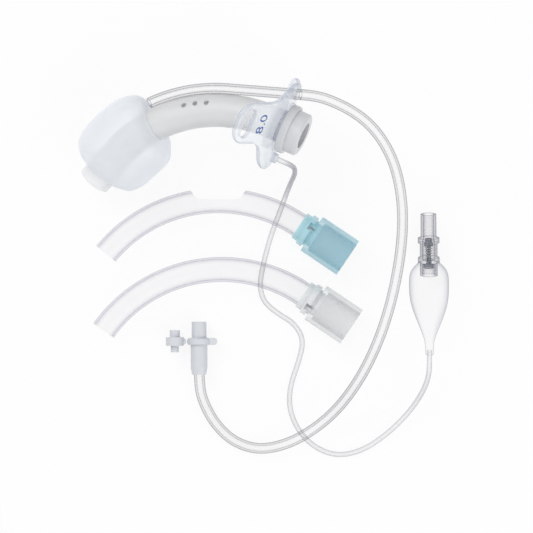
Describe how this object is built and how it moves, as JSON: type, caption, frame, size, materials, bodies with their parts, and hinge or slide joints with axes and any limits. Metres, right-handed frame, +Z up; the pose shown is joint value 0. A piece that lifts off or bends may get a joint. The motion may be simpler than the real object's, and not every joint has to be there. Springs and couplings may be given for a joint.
{
  "type": "tracheostomy tube",
  "caption": "Cuffed bent tracheostomy tube with neck flange, suction line, pilot balloon and its removable inner cannulas with connectors, laid out flat.",
  "frame": {"origin": "on the table under the middle of the tube and its inner cannulas", "axes": "+Z up from the table, +X from the tube tips towards the connectors, +Y towards the outer tube"},
  "size_m": [0.137, 0.1407, 0.0674],
  "materials": {
    "white_tube": "satin",
    "white_fitting": "satin",
    "cuff_film": "frosted",
    "clear_flange": "soft clear",
    "clear_tube": "clear",
    "clear_line": "clear",
    "blue_fitting": "translucent",
    "milky_fitting": "translucent",
    "port_white": "satin",
    "balloon_film": "clear film",
    "clear_fitting": "clear",
    "plunger_grey": "satin",
    "spring_steel": "drawn wire"
  },
  "bodies": {
    "set": {"outer_cannula": "white_tube", "suction_channel": "clear_line", "tube_connector": "white_fitting", "cuff": "cuff_film", "neck_flange": "clear_flange", "fenestrated_tube": "clear_tube", "plain_tube": "clear_tube", "blue_connector": "blue_fitting", "white_connector": "milky_fitting", "suction_line": "clear_line", "suction_port": "port_white", "inflation_line": "clear_line", "pilot_balloon": "balloon_film", "valve_housing": "clear_fitting", "valve_spring": "spring_steel"},
    "plunger": {"valve_plunger": "plunger_grey"},
    "cap": {"port_cap": "port_white"}
  },
  "joints": [
    {"name": "plunger_slide", "type": "slide", "parent": "set", "child": "plunger", "axis": [0, -0.9797, 0.2004], "range_m": [0, 0.0012], "deforming": ["valve_spring"]},
    {"name": "cap_hinge", "type": "hinge", "parent": "set", "child": "cap", "pos_m": [-0.01415, -0.0484, 0.00442], "axis": [0, 0, 1], "range_deg": [-50, 50]}
  ]
}
